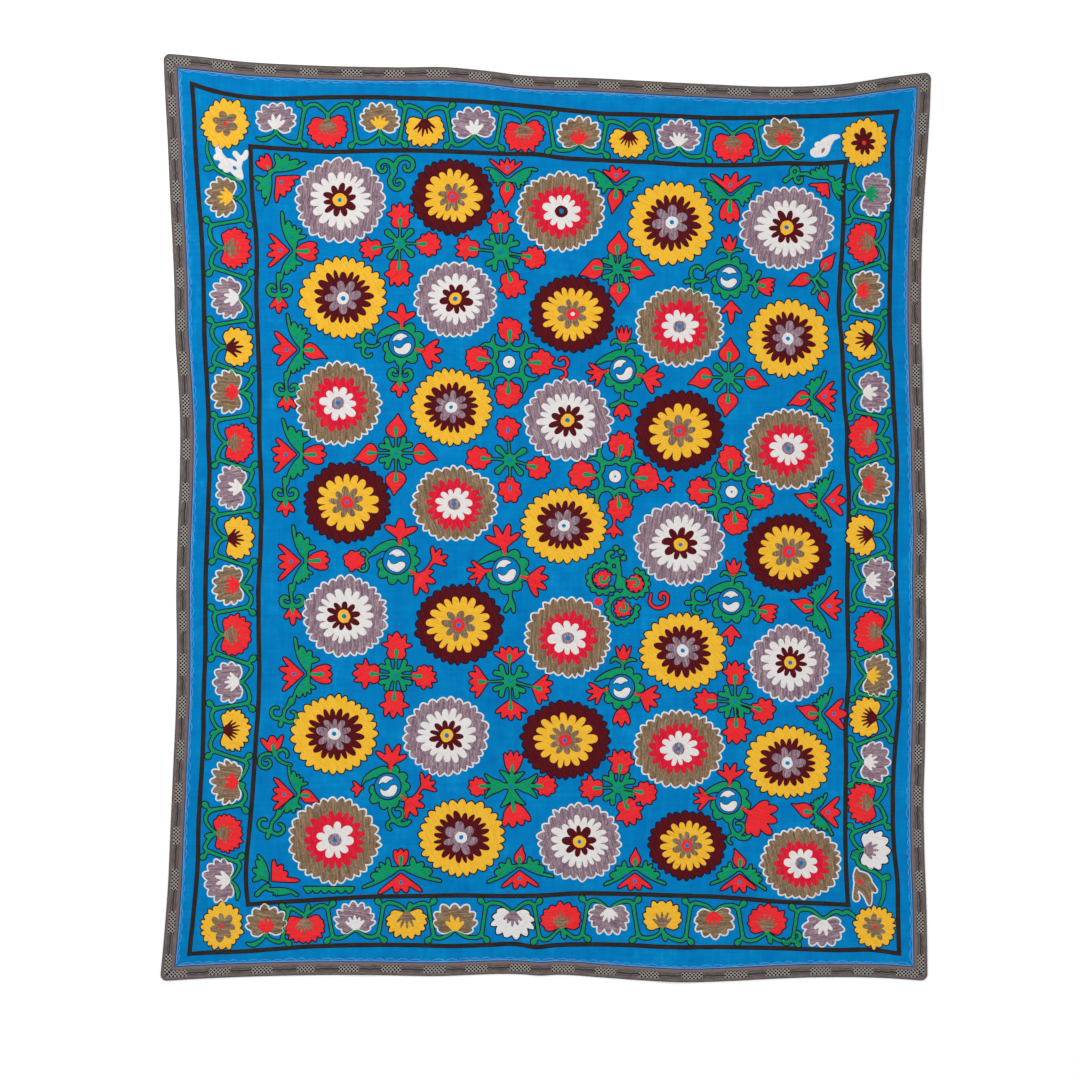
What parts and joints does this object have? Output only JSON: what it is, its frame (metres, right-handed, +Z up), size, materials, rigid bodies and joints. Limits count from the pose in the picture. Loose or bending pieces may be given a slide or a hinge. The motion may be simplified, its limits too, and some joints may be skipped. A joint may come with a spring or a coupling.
{
  "type": "suzani embroidered textile",
  "caption": "Flat embroidered wall hanging or bed cover: a blue cotton cloth with chain-stitched rosettes and vines, edged all round with a folded woven tape.",
  "frame": {"origin": "middle of the hanging's underside, on the surface that it lies on", "axes": "+Z up through the embroidered face, +Y towards the top edge, +X towards the right edge as seen face on"},
  "size_m": [1.8629, 2.2454, 0.0063],
  "materials": {
    "ground_cotton": "plain woven cotton, dyed bright blue, matte and faintly mottled",
    "woven_tape": "narrow woven band, grey-brown with off-white lattice and charcoal zones",
    "thread_red": "chain-stitched thread, soft sheen",
    "thread_crimson": "chain-stitched variegated thread, soft sheen",
    "thread_yellow": "chain-stitched thread, soft sheen",
    "thread_maroon": "chain-stitched thread, soft sheen",
    "thread_white": "chain-stitched thread, soft sheen",
    "thread_mauve": "chain-stitched variegated thread, soft sheen",
    "thread_taupe": "chain-stitched variegated thread, soft sheen",
    "thread_green": "chain-stitched thread, soft sheen",
    "thread_dark": "chain-stitched charcoal thread, matte",
    "thread_lilac": "pale sewing thread, matte"
  },
  "bodies": {
    "root": {"ground_cloth": "ground_cotton", "tape_top": "woven_tape", "tape_right": "woven_tape", "tape_bottom": "woven_tape", "tape_left": "woven_tape"}
  },
  "joints": []
}
